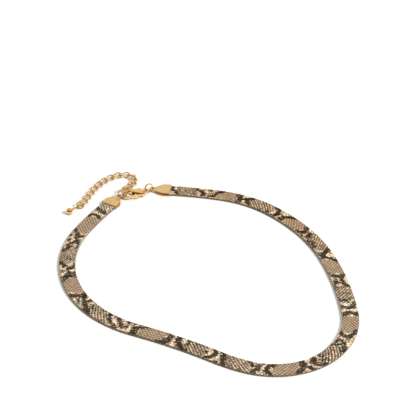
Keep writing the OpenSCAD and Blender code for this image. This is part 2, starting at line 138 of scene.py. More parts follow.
DARK_STROKES = [
    (7.7, 3.5, 7.2, 1.2, 1.2), (7.2, 1.2, 5.2, -2.8, 1.2), (12.9, 4.0, 11.0, 0.7, 1.3),
    (11.0, 0.7, 10.2, -1.6, 1.1), (10.6, -1.6, 12.6, -3.4, 1.7), (25.6, -3.0, 28.3, -0.6, 1.4),
    (28.3, -0.6, 33.8, 1.7, 1.4), (33.8, 1.7, 36.8, 3.6, 1.1), (29.2, 3.9, 30.2, 0.9, 1.1),
    (34.4, 1.6, 35.9, -0.2, 1.1), (35.9, -0.2, 38.2, -1.7, 1.1), (39.4, -0.6, 41.2, -1.2, 1.4),
    (41.2, -1.2, 42.9, -3.2, 1.2), (34.0, -2.1, 34.4, -2.8, 0.9), (30.0, -2.6, 31.2, -3.3, 0.8),
    (38.2, 3.2, 40.3, 2.9, 0.8), (52.0, -3.2, 54.4, -1.4, 1.2), (54.4, -1.4, 56.4, 0.3, 1.2),
    (56.4, 0.3, 59.6, 0.5, 0.9), (53.6, 3.4, 57.2, 3.0, 0.9), (57.2, 3.0, 56.8, 0.6, 1.4),
    (59.0, -2.2, 59.0, -2.7, 0.8), (61.2, 3.6, 63.2, 1.4, 2.0), (63.2, 1.4, 61.4, -0.1, 1.5),
    (61.4, -0.1, 64.2, -1.6, 1.8), (64.2, -1.2, 66.1, -3.3, 1.4), (64.2, 3.6, 64.5, 2.7, 1.0),
    (78.6, 3.4, 81.0, 1.9, 1.4), (81.0, 1.9, 83.2, 0.3, 1.3), (80.3, 3.7, 79.8, -0.2, 1.7),
    (79.8, -0.2, 77.4, -3.3, 1.7), (85.7, 3.1, 84.9, 0.7, 1.2), (83.2, 0.2, 86.5, -0.6, 1.5),
    (86.5, -0.6, 91.9, -3.5, 1.5), (81.8, -1.6, 82.2, -2.1, 0.9), (83.4, -2.6, 84.0, -3.0, 0.8),
    (89.2, 1.6, 89.8, 0.9, 0.9), (99.4, 3.4, 101.5, 0.7, 1.3), (101.5, 0.7, 103.8, -2.0, 1.3),
    (103.0, 3.4, 106.9, 1.1, 1.2), (106.9, 1.1, 109.5, -1.9, 1.3),
    (105.8, -2.4, 106.8, -3.2, 1.4), (111.6, 0.2, 110.8, -0.8, 1.0),
    (110.1, 3.1, 110.8, 2.5, 0.9), (112.8, 3.3, 114.2, 3.2, 0.7), (119.0, 3.6, 116.4, 1.5, 1.7),
    (116.4, 1.5, 114.3, 0.2, 1.6), (115.3, 0.4, 115.4, -3.5, 2.6),
    (127.2, -3.6, 128.4, -3.4, 1.0), (129.9, 3.6, 131.5, 1.9, 1.9),
    (131.5, 1.9, 130.9, -0.2, 1.9), (130.9, -0.2, 129.5, -3.4, 2.0),
    (131.4, -0.8, 132.6, -1.6, 0.9), (135.9, 3.6, 134.6, 2.0, 1.6),
    (134.6, 2.0, 135.7, -0.2, 1.5), (135.7, -0.2, 139.3, -3.5, 1.7),
    (139.0, 2.9, 139.6, 2.3, 0.8), (139.5, 0.9, 140.1, 0.4, 0.9), (149.2, 0.2, 150.1, -0.4, 0.9),
    (151.0, 3.3, 151.8, 3.0, 0.8), (152.2, 2.9, 153.5, 1.1, 1.4), (153.5, 1.1, 153.1, -1.4, 1.4),
    (153.1, -1.4, 151.0, -3.5, 1.6), (155.9, 3.5, 158.3, -0.1, 1.6),
    (157.1, -0.5, 159.8, -3.6, 1.5), (155.7, -3.3, 156.2, -3.6, 0.9),
    (168.4, 3.4, 169.4, 2.9, 1.2), (170.6, 1.8, 171.2, 1.1, 1.0), (173.4, 1.6, 173.3, 0.4, 1.1),
    (174.3, 3.6, 176.0, 3.4, 0.9), (172.0, -2.6, 173.2, -0.6, 1.6),
    (180.8, 3.5, 177.3, 0.8, 1.6), (177.3, 0.8, 176.6, -1.4, 1.5),
    (176.6, -1.4, 178.6, -3.5, 1.6), (191.9, 3.0, 191.4, 0.0, 1.2),
    (191.4, -1.3, 189.1, -3.5, 1.6), (192.9, 3.6, 192.9, 0.4, 1.9),
    (193.4, -0.9, 195.8, -3.7, 1.3), (199.0, 3.4, 197.1, -0.1, 1.8),
    (197.1, -0.1, 198.7, -2.3, 1.7), (198.7, -2.3, 200.9, -3.7, 1.7),
    (202.0, 2.7, 202.5, 2.0, 0.8), (201.0, -0.2, 201.5, -1.0, 0.9),
    (212.3, 3.4, 214.2, 0.9, 1.2), (215.8, 2.6, 216.6, 2.0, 0.9),
    (212.6, -3.3, 216.6, -0.2, 1.8), (216.6, -0.2, 217.8, 2.0, 1.3),
    (224.1, 3.6, 221.2, 1.5, 1.7), (221.2, 1.5, 220.4, -1.0, 1.6),
    (220.4, -1.0, 225.6, -3.4, 1.9), (236.1, 3.5, 237.8, 1.5, 2.0),
    (237.8, 1.5, 238.0, -0.4, 2.0), (238.0, -0.4, 236.9, -3.5, 2.0),
    (242.9, 3.5, 241.7, 0.8, 1.7), (241.7, 0.8, 242.3, -1.5, 1.5),
    (242.3, -1.5, 245.0, -3.1, 1.6), (247.2, 2.4, 247.7, 1.3, 0.9),
    (247.4, 3.6, 248.4, 3.4, 0.8), (247.4, -0.2, 247.9, -1.0, 0.7),
    (258.3, 3.5, 263.2, 1.8, 1.0), (260.4, 1.4, 261.0, 0.8, 0.8),
    (260.4, -0.8, 257.0, -3.2, 1.2), (268.6, 3.5, 265.9, 1.1, 1.7),
    (265.9, 1.1, 265.5, -1.0, 1.6), (265.5, -1.0, 266.9, -3.3, 1.8),
    (261.8, -1.0, 265.4, -1.1, 1.2), (281.0, 3.4, 282.3, 1.9, 1.5),
    (282.3, 1.9, 284.8, 0.6, 1.6), (284.8, 0.6, 286.9, -3.2, 1.6),
    (282.2, 1.1, 280.2, -0.7, 1.4), (280.2, -0.7, 277.1, -3.4, 1.4),
    (284.2, 3.1, 285.4, 2.6, 1.1), (291.2, 3.4, 291.8, 2.5, 1.2), (293.9, 2.4, 294.4, 1.7, 1.0),
    (296.4, 3.5, 297.4, 2.9, 1.0), (300.0, 1.7, 301.5, -1.2, 1.5), (302.3, 3.7, 303.2, 3.1, 1.1),
    (306.7, 3.6, 304.3, 0.7, 2.0), (304.3, 0.7, 306.6, -2.9, 1.9), (319.4, 3.3, 319.8, 0.7, 1.6),
    (319.8, 0.7, 318.4, -1.4, 1.6), (318.4, -1.4, 315.4, -3.4, 1.5),
    (320.5, 3.7, 320.8, 0.0, 1.2), (324.6, 3.0, 323.7, 0.7, 1.6), (323.7, 0.7, 327.1, -3.6, 1.6),
    (325.6, 3.6, 326.2, 3.4, 0.8), (328.8, 3.0, 329.6, 2.6, 0.9), (340.8, 3.6, 342.5, 1.5, 1.6),
    (342.5, 1.5, 343.8, -0.2, 1.6), (343.8, -0.2, 341.1, -2.6, 1.5),
    (343.8, 0.0, 346.4, -0.1, 1.1), (346.0, 3.6, 347.4, 2.4, 1.9), (347.4, 2.4, 346.2, 0.7, 1.6),
    (346.2, 0.7, 348.4, -2.8, 1.9), (361.7, 3.5, 360.0, 1.5, 1.7),
    (360.0, 1.5, 358.3, -1.4, 1.4), (358.3, -1.4, 356.0, -3.0, 1.4),
    (365.5, 3.6, 365.0, 1.1, 1.5), (365.0, 1.1, 367.1, -1.4, 1.5),
    (367.1, -1.4, 369.0, -1.8, 1.3), (361.8, -2.0, 362.4, -2.6, 0.8),
    (377.8, 3.6, 379.2, 1.5, 1.2), (379.2, 1.5, 380.9, -0.1, 1.2),
    (380.9, -0.1, 380.6, -2.3, 1.1), (377.2, -3.4, 378.4, -3.6, 0.8),
]

# End caps: the middle of the mouth and the way to the eye
CAPS = {"cap_left": (-46.621, 49.786, 59.5), "cap_right": (-16.94, 63.545, 174.5)}
CAP_WIDTH = 8.2
CAP_HEIGHT = 1.85
CAP_EYE_AT = 9.1
# The sides, the top and the underside run in to the neck between these places
SHOULDER = (3.3, 9.0)
CAP_TOP = (4.3, 7.8)
CAP_UNDERSIDE = (4.9, 7.8)
NECK_WIDTH = 2.9
TAB_RADIUS = 1.45
TAB_HOLE = 0.9
TAB_Z = (1.05, 1.55)
# The softened edge of the tab, and the bend of that edge as shares of it: in, and down
TAB_EDGE = 0.12
TAB_BEND = (0.25, 0.4)
TAB_STEPS = 64
# Depth, width, floor and ceiling of the pocket for the band's tongue
POCKET = (3.6, 6.14, 0.35, 1.29)

# The folded sheet's seam along both sides of a cap.
# Columns: share of the side between its rounded edges, share of the depth
SEAM_ROWS = [(0.91, 0), (0.863, 1), (0.415, 1), (0.355, 0)]
SEAM_DEPTH = 0.3
SEAM_SPAN = (4.8, 7.6)
# Points round one section of a cap: its corners and both seams
CORNER_POINTS = 5
SECTION_POINTS = 4 * CORNER_POINTS + 2 * len(SEAM_ROWS)
# Which of a section's points the seam's floor starts at, on both sides
SEAM_FLOOR = (CORNER_POINTS + 1, 3 * CORNER_POINTS + len(SEAM_ROWS) + 1)
# Radius of the long edges of the sleeve and of its pocket, and the least flat between two edges
SLEEVE_CORNER = 0.16
POCKET_CORNER = 0.1
LEAST_FLAT = 0.01
# How the mouth's outer edge is rounded. Columns: place along, inset
MOUTH_EDGE = [(0, 0.07), (0.05, 0.02), (0.12, 0)]
# The sections behind that edge, up to where the sleeve meets the flat eye and laps over it
SLEEVE_START = 0.3
SLEEVE_END = 8.15
SLEEVE_SECTIONS = 44
SLEEVE_LAP = 0.05
# Thickness of the sheet at the mouth, and from where to where the mouth stands open
LIP = 0.2
LIP_START = 0.03
LIP_DEPTH = 0.45
POCKET_SECTIONS = 4

# Rings. Columns: middle, turn
JUMP_RINGS = {
    "ring_left": ((-40.3215, 57.9519, 2.2336), 2.545),
    "ring_right": ((-27.6097, 63.8399, 2.2336), 28.118),
}
RING_D = 4.6
RING_WIRE = 0.7
RING_LEAN = 15
# Width of the cut where a jump ring is closed
RING_CUT = 0.05

# Clasp: its eye's middle, its turn, its half width, the heights of its middle plane at two
# places along it, and how much thinner its edges are
CLASP_EYE = (-29.0107, 62.8077)
CLASP_TURN = 208
CLASP_HALF = 3.2
CLASP_MIDDLE = ((6.5, 9.0), (1.3, 1.65))
CLASP_DOME = 0.42
# Voxels and passes of smoothing that round the edges of both castings
BODY_CASTING = (0.06, 60)
LEVER_CASTING = (0.05, 30)
SMOOTHING = 0.5

# Extender chain
FIRST_JOINT = (-38.7184, 58.2129, 3.317)
LINK_PITCH = 4.15
LINK_WIRE = 0.65
LINK_HALF = (2.72, 1.65)
LINK_TWIST = 50
# Columns: heading on the surface, slope, how slack it lies
LINKS = [
    (100, -4, 0.55), (75, -33, 0.55), (59, -1.5, 0.55), (64, 0, 0.25), (94, 0, 0), (138, 0, 0),
    (180, 0, 0), (208, 0, 0), (224, 0, 0), (234, 0, 0), (241, 0, 0), (247, 0, 0), (250, 0, 0),
    (252, 0, 0), (252, 0, 0),
]
END_RING = (-60.2687, 49.8398, 1.16)
END_RING_TURN = 228
END_RING_ROLL = 27
END_RING_D = 4.2
END_RING_WIRE = 0.7
DROP_PLACE = (-61.3452, 48.4615, 1.0977)
DROP_HEADING = 232.5
DROP_LIFT = 4.803
DROP_LOOP_D = 2.0
DROP_WIRE = 0.45
DROP_LENGTH = 6.0
# The drop's neck, from the middle of its loop. Columns: distance, radius
DROP_NECK = [(0.8, 0.02), (0.84, 0.36), (1.0, 0.4), (2.6, 0.5), (4.2, 0.62), (4.5, 0.7)]
# Radius where the neck meets the ball
NECK_END = 0.76
BALL_RADIUS = 1.6
BALL_STEPS = 22


def srgb(red, green, blue):
    """The linear colour that a shader takes, from values of 0 to 255."""

    def linear(value):
        value /= 255
        return value / 12.92 if value <= 0.04045 else ((value + 0.055) / 1.055) ** 2.4

    return np.array((linear(red), linear(green), linear(blue), 1.0))


TAN = srgb(209, 182, 151)
CREAM = srgb(245, 225, 192)
GROUND = srgb(240, 214, 181)
# Dark of the print's specks, also laid as painted shade in the grooves between the scales
FLECK_AND_GROOVE_SHADE = srgb(38, 26, 16)
DARK = srgb(49, 41, 32)
# Towards the right cap the darks turn browner and the rest a little warmer between these places
WARM_DARK = srgb(42, 24, 9)
WARM_SPAN = (265, 305)
WARM_TINT = np.array((1.0, 0.95, 0.83, 1))
# The sides' unprinted metal, darker than the underside's: partly its own grey-brown, partly
# painted shade
SIDE_METAL_AND_SHADE = srgb(142, 126, 108)
UNDER = srgb(178, 154, 124)
# How wide a stroke is drawn: the share of its charted width, and what is added
DARK_GROWTH = (1.25, 0.4)
CREAM_GROWTH = (1.0, 0.1)
TAN_GROWTH = (1.0, 0.2)
# Half the width of the cream line round a saddle
CREAM_LINE = 0.35
# How soft the edges are, all as half the width of the step
STROKE_SOFT = 0.12
TAN_SOFT = 0.5
SADDLE_SOFT = 0.2
SPECKLE_SOFT = 1.0
GROOVE_SOFT = 0.06
# The surroundings of the dark strokes: how soft, and how much wider
NEAR_DARK = (1.2, 1.0)
# Edges follow the cells of half the scales' size: the pull to a cell's middle, and how far
# a cell strays along and across
CELL_PULL = 0.8
CELL_STRAY = (0.9, 0.8)
# Pairs are a base and what a cell's number or a mask adds to it.
# Tones of the ground, the saddles, the dark strokes and the cream
GROUND_TONE = (0.82, 0.36)
TAN_TONE = (0.9, 0.2)
DARK_TONE = (0.8, 1.2)
CREAM_SHARE = (0.7, 0.3)
# The grain from cell to cell, by how much of a saddle it is
GRAIN = (1.2, -0.9)
# How many cells are cream or dark specks, and how strong these are
CREAM_SPECKS = (0.16, 0.3)
DARK_SPECKS = (0.06, 0.2)
SPECK_SHARE = 0.8
# Strength of the tan strokes and of the line round a saddle, and how much cream hides the grooves
PATCH_SHARE = 0.8
EDGE_SHARE = 0.8
CREAM_HIDES = 0.5
# Dark cells above this number are lightened by this share, as painted highlights on single scales
HIGHLIT_ABOVE = 0.84
HIGHLIT_SHARE = 0.4
# The painted shade in the fine grooves: half width, strength, tone and what a saddle adds
FINE_GROOVE = (0.17, 0.08)
FINE_STRENGTH = 0.68
FINE_TONE = (0.7, 0.3)
FINE_IN_SADDLE = (1, 0.25)
# The broad dashes in the speckled zones: half width and tone
BROAD_GROOVE = (0.24, 0.16)
BROAD_TONE = (0.75, 0.25)
# Shares of the dashes along both of the lattice's ways
WAY_SHARES = {1: (1.0, 0.45), -1: (0.45, 1.0), 0: (0.95, 0.95)}
# Heights where the print starts and is full, and below which the underside starts
PRINT_FROM, PRINT_RISE = 0.75, 0.35
UNDER_BELOW = 0.3
# How dark the painted shade in the grooves is on the sides and below
SIDE_GROOVE = 0.6
UNDER_GROOVE = 0.4


# Small sums


def ease(x, span, start, end):
    """A smooth run from start to end while x crosses the span."""
    t = np.clip((x - span[0]) / (span[1] - span[0]), 0, 1)
    return start + (end - start) * (1 - np.cos(math.pi * t)) / 2


def step_down(x, edge, soft):
    """1 well below the edge and 0 well above it."""
    t = np.clip((edge + soft - x) / (2 * soft), 0, 1)
    return t * t * (3 - 2 * t)


def mix(a, b, share):
    """Colours a with a share of the colours b."""
    share = np.asarray(share)[..., None]
    return a * (1 - share) + b * share


def varied(pair, number):
    """A base and what a number adds to it."""
    return pair[0] + pair[1] * number


def noise_of(i, j, seed):
    """A repeatable number from 0 to 1 for each cell."""
    value = np.sin(i * 127.1 + j * 311.7 + seed * 74.7) * 43758.5453
    return value - np.floor(value)


# Meshes


def mesh_object(name, points, faces):
    """A smooth mesh object from points in millimetres."""
    mesh = bpy.data.meshes.new(name)
    mesh.from_pydata((np.asarray(points) * MM).tolist(), [], [list(map(int, f)) for f in faces])
    mesh.update()
    mesh.shade_smooth()
    obj = bpy.data.objects.new(name, mesh)
    bpy.context.scene.collection.objects.link(obj)
    return obj


def skin(loops, closed_along=False):
    """Points and faces of a skin over an array of loops: along, round, xyz.

    Open ends get a fan of faces.
    """
    along, around = loops.shape[:2]
    points = loops.reshape(-1, 3)
    faces = []
    for i in range(along if closed_along else along - 1):
        k = (i + 1) % along
        for j in range(around):
            m = (j + 1) % around
            faces.append((i * around + j, k * around + j, k * around + m, i * around + m))
    if not closed_along:
        first, last = len(points), (along - 1) * around
        for j in range(around):
            m = (j + 1) % around
            faces.append((j, m, first))
            faces.append((last + m, last + j, first + 1))
        points = np.vstack([points, loops[0].mean(0), loops[-1].mean(0)])
    return points, facing_out(points, faces)


def facing_out(points, faces):
    """The faces of a closed skin, turned over if they enclose a negative volume."""
    fans = np.array([(f[0], f[i], f[i + 1]) for f in faces for i in range(1, len(f) - 1)])
    a, b, c = (points[fans[:, k]] for k in range(3))
    volume = np.sum(a * np.cross(b, c))
    return faces if volume > 0 else [f[::-1] for f in faces]


def joined(parts):
    """Points and faces of several skins as one."""
    points, faces, first = [], [], 0
    for part_points, part_faces in parts:
        points.append(part_points)
        faces += [tuple(first + i for i in face) for face in part_faces]
        first += len(part_points)
    return np.vstack(points), faces


def placed(points, place, turn=0.0, tilt=0.0, roll=0.0):
    """Points rolled about X, tilted about Y and turned about Z, then moved to a place."""
    matrix = (
        Matrix.Translation(place)
        @ Matrix.Rotation(math.radians(turn), 4, "Z")
        @ Matrix.Rotation(math.radians(tilt), 4, "Y")
        @ Matrix.Rotation(math.radians(roll), 4, "X")
    )
    array = np.array(matrix)
    return points @ array[:3, :3].T + array[:3, 3]


def torus(radius, wire, steps=72, sides=20, split=0.0):
    """A round ring of wire in the XY plane, with a cut as wide as the split."""
    cut = split / radius / 2
    turns = np.linspace(cut, 2 * math.pi - cut, steps + 1)
    if not split:
        turns = turns[:-1]
    sides_at = np.linspace(0, 2 * math.pi, sides, endpoint=False)
    out = radius + wire * np.cos(sides_at)[None, :]
    loops = np.stack(
        [
            np.cos(turns)[:, None] * out,
            np.sin(turns)[:, None] * out,
            np.broadcast_to(wire * np.sin(sides_at), (len(turns), sides)),
        ],
        -1,
    )
    return skin(loops[:, ::-1], closed_along=not split)


def lathe(profile, steps=48):
    """A surface turned about X from (along, radius) rows."""
    turns = np.linspace(0, 2 * math.pi, steps, endpoint=False)
    loops = np.array([[(x, r * math.cos(a), r * math.sin(a)) for a in turns] for x, r in profile])
    return skin(loops)


# The band


def centre_line(s):
    """x, y and heading in radians of the band's centre line at distances along it."""
    s = np.asarray(s, float)
    x, y, heading = np.zeros_like(s), np.zeros_like(s), np.zeros_like(s)
    place_x, place_y, angle = BAND_START[0], BAND_START[1], math.radians(BAND_START[2])
    done = 0.0
    for k, (radius, turn) in enumerate(RUNS):
        length = radius * abs(math.radians(turn))
        here = (s >= done) if k else np.ones_like(s, bool)
        signed = math.copysign(radius, turn)
        new = angle + (s - done) / signed
        x = np.where(here, place_x + signed * (np.sin(new) - math.sin(angle)), x)
        y = np.where(here, place_y - signed * (np.cos(new) - math.cos(angle)), y)
        heading = np.where(here, new, heading)
        end = angle + length / signed
        place_x += signed * (math.sin(end) - math.sin(angle))
        place_y -= signed * (math.cos(end) - math.cos(angle))
        angle = end
        done += length
    return x, y, heading


def band_section():
    """The band's cross-section: rows of across, height and outward normal, and their girth.

    The girth is measured from the middle of the top.
    """
    half, thick, r = BAND_WIDTH / 2, BAND_THICKNESS, BAND_CORNER
    rows = []

    def line(start, end, steps, normal):
        for i in range(steps):
            place = (a + i / steps * (b - a) for a, b in zip(start, end))
            rows.append((*place, *normal))

    def corner(middle, first):
        for i in range(CORNER_STEPS):
            a = math.radians(first - 90 * i / CORNER_STEPS)
            out, up = math.cos(a), math.sin(a)
            rows.append((middle[0] + r * out, middle[1] + r * up, out, up))

    line((-half + r, thick), (half - r, thick), TOP_STEPS, (0, 1))
    corner((half - r, thick - r), 90)
    line((half, thick - r), (half, r), SIDE_STEPS, (1, 0))
    corner((half - r, r), 0)
    line((half - r, 0), (-half + r, 0), UNDER_STEPS, (0, -1))
    corner((-half + r, r), -90)
    line((-half, r), (-half, thick - r), SIDE_STEPS, (-1, 0))
    corner((-half + r, thick - r), 180)
    rows = np.array(rows)
    steps = np.linalg.norm(np.diff(rows[:, :2], axis=0), axis=1)
    girth = np.concatenate([[0], np.cumsum(steps)]) - (half - r)
    return rows, girth


def scale_cell(s, girth, size=1.0):
    """Which diamond of the lattice a point is in, and its shares along both of its edges."""
    u = s / (size * SCALE_LENGTH) + girth / (size * SCALE_WIDTH)
    v = s / (size * SCALE_LENGTH) - girth / (size * SCALE_WIDTH)
    return np.floor(u), np.floor(v), u - np.floor(u), v - np.floor(v)


def scale_height(s, girth):
    """Height of the domed scales over the grooves between them, from 0 to 1."""
    _, _, fu, fv = scale_cell(s, girth)
    dome = (1 - np.abs(2 * fu - 1) ** 3) * (1 - np.abs(2 * fv - 1) ** 3)
    return (1 - SCALE_TIP) * dome + SCALE_TIP * dome * (fu + fv) / 2


def stroke_mask(s, t, rows, growth, soft=STROKE_SOFT, wider=0.0):
    """How much a point lies in any of the strokes, from 0 to 1."""
    mask = np.zeros_like(s)
    for s1, t1, s2, t2, width in rows:
        half = (growth[0] * width + growth[1]) / 2 + wider
        near = np.abs(s - (s1 + s2) / 2) < abs(s2 - s1) / 2 + half + soft
        px, py = s[near] - s1, t[near] - t1
        dx, dy = s2 - s1, t2 - t1
        along = np.clip((px * dx + py * dy) / (dx * dx + dy * dy), 0, 1)
        away = np.hypot(px - along * dx, py - along * dy)
        mask[near] = np.maximum(mask[near], step_down(away, half, soft))
    return mask


def saddle_masks(s, t):
    """Inside the saddles, and in the cream line round them."""
    inside, line = np.zeros_like(s), np.zeros_like(s)
    for row in SADDLES:
        start = np.interp(t, (-EDGE_AT, 0, EDGE_AT), row[2::-1])
        end = np.interp(t, (-EDGE_AT, 0, EDGE_AT), row[:2:-1])
        depth = np.minimum(s - start, end - s)
        inside = np.maximum(inside, step_down(-depth, 0, SADDLE_SOFT))
        line = np.maximum(line, step_down(np.abs(depth), CREAM_LINE, SADDLE_SOFT))
    return inside, line


def groove_line(share, half):
    """Dark in the groove at both ends of a cell, as wide as asked, from 0 to 1."""
    inside = half + GROOVE_SOFT - np.minimum(share, 1 - share)
    return np.clip(inside / (2 * GROOVE_SOFT), 0, 1)


def scale_outlines(s, fu, fv, saddle, one, two):
    """Dark lines between the scales: fine lines of painted shade in the grooves as a rule, and the
    print's broad dashes in the speckled zones.
    """
    half = varied(FINE_GROOVE, one)
    lines = FINE_STRENGTH * np.maximum(groove_line(fu, half), groove_line(fv, half))
    lines = lines * varied(FINE_TONE, two) * varied(FINE_IN_SADDLE, saddle)
    broad = varied(BROAD_GROOVE, two)
    along_u = groove_line(fu, broad) * varied(BROAD_TONE, one)
    along_v = groove_line(fv, broad) * varied(BROAD_TONE, one)
    for start, end, strength, way in SPECKLES:
        inside = step_down(-np.minimum(s - start, end - s), 0, SPECKLE_SOFT) * strength
        share_u, share_v = WAY_SHARES[way]
        lines = np.maximum(lines, inside * np.maximum(share_u * along_u, share_v * along_v))
    return lines


def print_colours(s, t, girth):
    """The print's colour at points of the band's top, with edges that follow the scales, painted
    shade in the grooves and painted highlights on some scales.
    """
    i, j, fu, fv = scale_cell(s, girth)
    one, two, three = (noise_of(i, j, seed) for seed in (1.0, 2.0, 3.0))
    a, b, _, _ = scale_cell(s, girth, 0.5)
    four, five, six, seven = (noise_of(a, b, seed) for seed in (4.0, 5.0, 6.0, 7.0))
    ps = s + CELL_PULL * ((a + b + 1) / 4 * SCALE_LENGTH - s) + (four - 0.5) * CELL_STRAY[0]
    pt = t + CELL_PULL * ((b - a) / 4 * SCALE_WIDTH - t) + (five - 0.5) * CELL_STRAY[1]

    saddle, edge = saddle_masks(ps, pt)
    patch = stroke_mask(ps, pt, TAN_STROKES, TAN_GROWTH, TAN_SOFT)
    cream = np.maximum(edge * EDGE_SHARE, stroke_mask(ps, pt, CREAM_STROKES, CREAM_GROWTH))
    dark = stroke_mask(ps, pt, DARK_STROKES, DARK_GROWTH)
    near_dark = stroke_mask(ps, pt, DARK_STROKES, DARK_GROWTH, *NEAR_DARK)
    warm = ease(s, WARM_SPAN, 0.0, 1.0)

    colour = GROUND * varied(GROUND_TONE, one[..., None])
    cream_specks = five < varied(CREAM_SPECKS, near_dark)
    colour = mix(colour, CREAM, SPECK_SHARE * cream_specks)
    dark_specks = four < varied(DARK_SPECKS, near_dark)
    colour = mix(colour, FLECK_AND_GROOVE_SHADE, SPECK_SHARE * dark_specks)
    tan = TAN * varied(TAN_TONE, one[..., None])
    colour = mix(colour, tan, np.maximum(saddle, PATCH_SHARE * patch))
    colour = mix(colour, colour * WARM_TINT, warm)
    colour = mix(colour, CREAM, cream * varied(CREAM_SHARE, one))
    grain = varied(GRAIN, saddle) * (seven - 0.5)
    # Painted shade in the grooves between the scales, with the print's dashes in the speckled
    # zones
    lines = scale_outlines(s, fu, fv, saddle, one, two) * (1 - CREAM_HIDES * cream)
    colour = mix(colour * (1 + grain)[..., None], FLECK_AND_GROOVE_SHADE, lines)
    ink = mix(DARK, WARM_DARK, warm) * varied(DARK_TONE, three)[..., None]
    # Painted highlights: some cells of the dark strokes are lightened
    highlit = HIGHLIT_SHARE * (six > HIGHLIT_ABOVE)
    colour = mix(colour, ink, dark * (1 - highlit))
    colour[..., 3] = 1
    return colour


def loops_along(s, across, up):
    """Loops over the band's centre line, from arrays across it and up from the surface."""
    x, y, heading = (row[:, None] for row in centre_line(s))
    loops = np.broadcast_arrays(x - np.sin(heading) * across, y + np.cos(heading) * across, up)
    return np.stack(loops, -1)


def band_loops(s, rows, girth):
    """The band's skin, whose grooves are cut in from its outline."""
    fade = np.clip(np.minimum(s - s[0], s[-1] - s) / END_FADE, 0, 1)[:, None]
    inward = SCALE_RELIEF * fade * (scale_height(s[:, None], girth[None, :]) - 1)
    across, height, out, up = rows.T
    return loops_along(s, -(across + out * inward), height + up * inward)


def tongue(s_from, s_to):
    """The flat end of the band inside a cap."""
    _, width, thick, middle = TONGUE
    across = np.array([1, -1, -1, 1]) * width / 2
    up = middle + np.array([1, 1, -1, -1]) * thick / 2
    return skin(loops_along(np.array([s_from, s_to]), across, up))


def make_band():
    """The band with its relief, its tongues, its print and the shade painted into its grooves,
    which are kept as vertex colours.
    """
    rows, girth = band_section()
    steps = round((BAND_LENGTH - 2 * BAND_GAP) / STEP_ALONG)
    s = np.linspace(BAND_GAP, BAND_LENGTH - BAND_GAP, steps + 1)
    body = skin(band_loops(s, rows, girth))
    ends = [
        tongue(-TONGUE[0], BAND_GAP + TONGUE_OVERLAP),
        tongue(BAND_LENGTH - BAND_GAP - TONGUE_OVERLAP, BAND_LENGTH + TONGUE[0]),
    ]
    obj = mesh_object("snake_band", *joined([body, *ends]))
    colours = band_colours(s, rows, girth)
    layer = obj.data.color_attributes.new("print", "FLOAT_COLOR", "POINT")
    plain = np.tile(SIDE_METAL_AND_SHADE, (len(obj.data.vertices) - len(colours), 1))
    layer.data.foreach_set("color", np.vstack([colours, plain]).astype(np.float32).ravel())
    finish_piece(obj, "necklace", "python_print", material_print(), "band")


def band_colours(s, rows, girth):
    """One colour a vertex: the print on top and round the upper corners, plain metal elsewhere,
    with painted shade on the sides and in the grooves.
    """
    shape = (len(s), len(rows))
    s_grid = np.broadcast_to(s[:, None], shape)
    t_grid = np.broadcast_to(-rows[None, :, 0], shape)
    girth_grid = np.broadcast_to(girth[None, :], shape)
    printed = print_colours(s_grid, t_grid, girth_grid)
    # Painted shade in the grooves of the sides and the underside
    groove = 1 - scale_height(s_grid, girth_grid)
    side = mix(SIDE_METAL_AND_SHADE, FLECK_AND_GROOVE_SHADE, groove * SIDE_GROOVE)
    under = mix(UNDER, FLECK_AND_GROOVE_SHADE, groove * UNDER_GROOVE)
    upper = np.clip((rows[:, 1] - PRINT_FROM) / PRINT_RISE, 0, 1)
    lower = np.clip((UNDER_BELOW - rows[:, 1]) / UNDER_BELOW, 0, 1)
    return mix(mix(side, printed, upper), under, lower).reshape(-1, 4)


# The fittings


def rounded_box(half, low, high, r, seam):
    """A loop round a cap: a rectangle with rounded corners and a seam along both sides."""
    points = []
    r = min(r, (high - low) / 2 - LEAST_FLAT, half - LEAST_FLAT)
    for cx, cz, first in (
        (half - r, high - r, 90),
        (half - r, low + r, 0),
        (-half + r, low + r, -90),
        (-half + r, high - r, 180),
    ):
        for a in np.radians(first - np.linspace(0, 90, CORNER_POINTS)):
            points.append((cx + r * math.cos(a), cz + r * math.sin(a)))
        if first in (90, -90):
            side = 1 if first == 90 else -1
            for share, inward in SEAM_ROWS[::side]:
                z = low + r + share * (high - low - 2 * r)
                points.append((side * (half - inward * seam), z))
    return points


def cap_shell():
    """The cap's sleeve and shoulders, from its mouth to its neck, with the band's pocket."""
    depth, pocket_w, pocket_low, pocket_high = POCKET
    mouth_x, mouth_inset = np.array(MOUTH_EDGE).T
    x = np.concatenate([mouth_x, np.linspace(SLEEVE_START, SLEEVE_END, SLEEVE_SECTIONS)])
    inset = np.concatenate([mouth_inset, np.zeros(SLEEVE_SECTIONS)])
    half = ease(x, SHOULDER, CAP_WIDTH / 2, NECK_WIDTH / 2) - inset
    high = ease(x, CAP_TOP, CAP_HEIGHT, TAB_Z[1]) - inset
    low = ease(x, CAP_UNDERSIDE, 0, TAB_Z[0]) + inset
    seam = ease(x, SEAM_SPAN, SEAM_DEPTH, 0.0)
    outer = [
        [(x[k], p, z) for p, z in rounded_box(half[k], low[k], high[k], SLEEVE_CORNER, seam[k])]
        for k in range(len(x))
    ]
    lip = CAP_WIDTH / 2 - LIP, LIP, CAP_HEIGHT - LIP, POCKET_CORNER, 0.0
    pocket = pocket_w / 2, pocket_low, pocket_high, POCKET_CORNER, 0.0
    inner = [
        [(at, p, z) for p, z in rounded_box(*shape)]
        for at, shape in ((LIP_START, lip), (LIP_DEPTH, lip), (LIP_DEPTH, pocket), (depth, pocket))
    ]
    return skin(np.array(inner[::-1] + outer))


